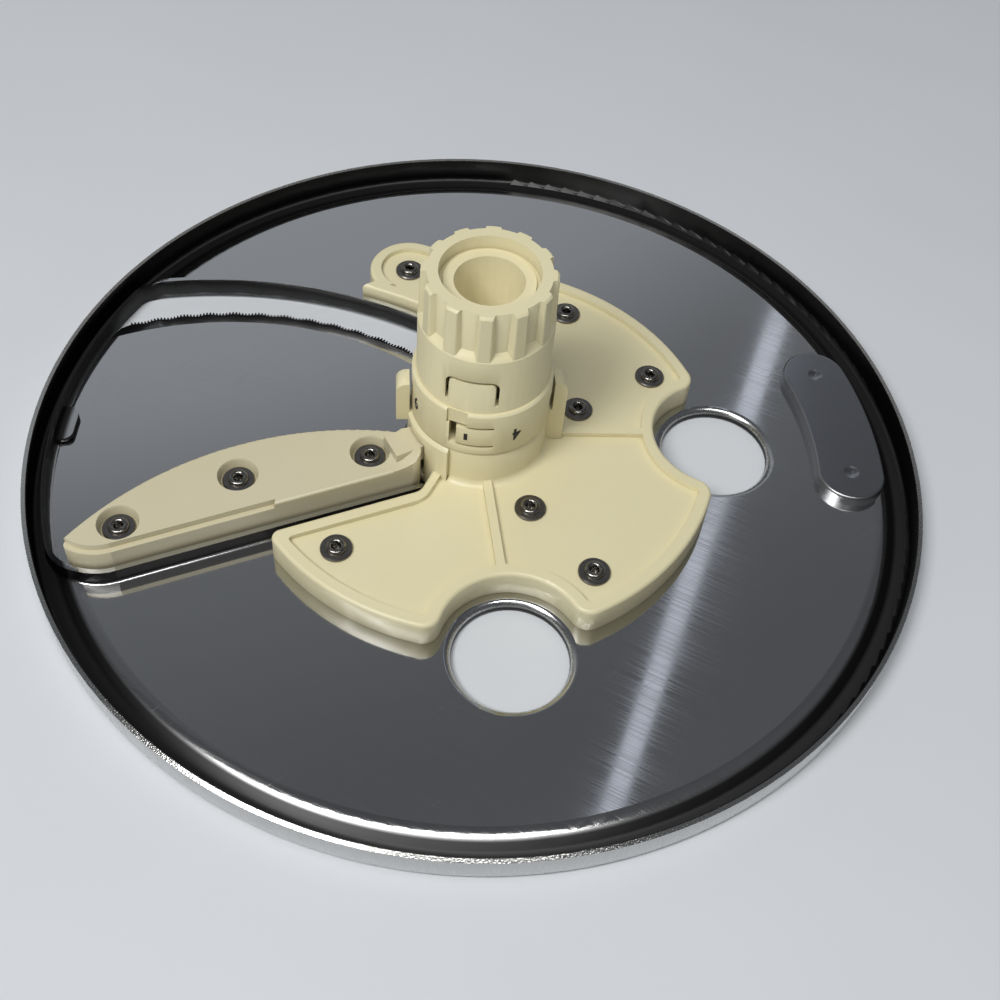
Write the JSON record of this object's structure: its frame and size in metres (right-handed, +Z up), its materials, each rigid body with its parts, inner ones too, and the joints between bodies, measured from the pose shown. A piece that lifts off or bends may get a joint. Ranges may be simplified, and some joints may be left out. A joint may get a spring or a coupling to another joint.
{
  "type": "food processor slicing disc",
  "caption": "Steel food processor disc with a moulded hub and finger holes; turning the numbered knob on its stem lowers the serrated slicing blade",
  "frame": {"origin": "on the drive axis, level with the under side of the disc's groove ring", "axes": "+Z up along the drive axis towards the knob, -Y towards the picture's front"},
  "size_m": [0.19, 0.19, 0.0543],
  "materials": {
    "disc_steel": "cold rolled, bright",
    "blade_steel": "rolled, ground edge",
    "cream_plastic": "moulded, satin",
    "rivet_steel": "rolled ends, bright",
    "washer_steel": "stamped, dark"
  },
  "bodies": {
    "disc": {"disc_plate": "disc_steel", "hub": "cream_plastic", "hub_rivets": "rivet_steel", "hub_rivet_washers": "washer_steel", "balance_weight": "disc_steel"},
    "knob": {"adjusting_knob": "cream_plastic"},
    "carriage": {"slicing_blade": "blade_steel", "blade_arm": "cream_plastic", "arm_rivets": "rivet_steel", "arm_rivet_washers": "washer_steel"}
  },
  "joints": [
    {"name": "knob_turn", "type": "hinge", "parent": "disc", "child": "knob", "pos_m": [0, 0, 0.03], "axis": [0, 0, 1], "range_deg": [0, 250]},
    {"name": "blade_slide", "type": "slide", "parent": "disc", "child": "carriage", "axis": [0, 0, -1], "range_m": [0, 0.005]}
  ],
  "couplings": [
    {"joint": "knob_turn", "follows": "blade_slide", "rad_per_m": 872.66}
  ]
}
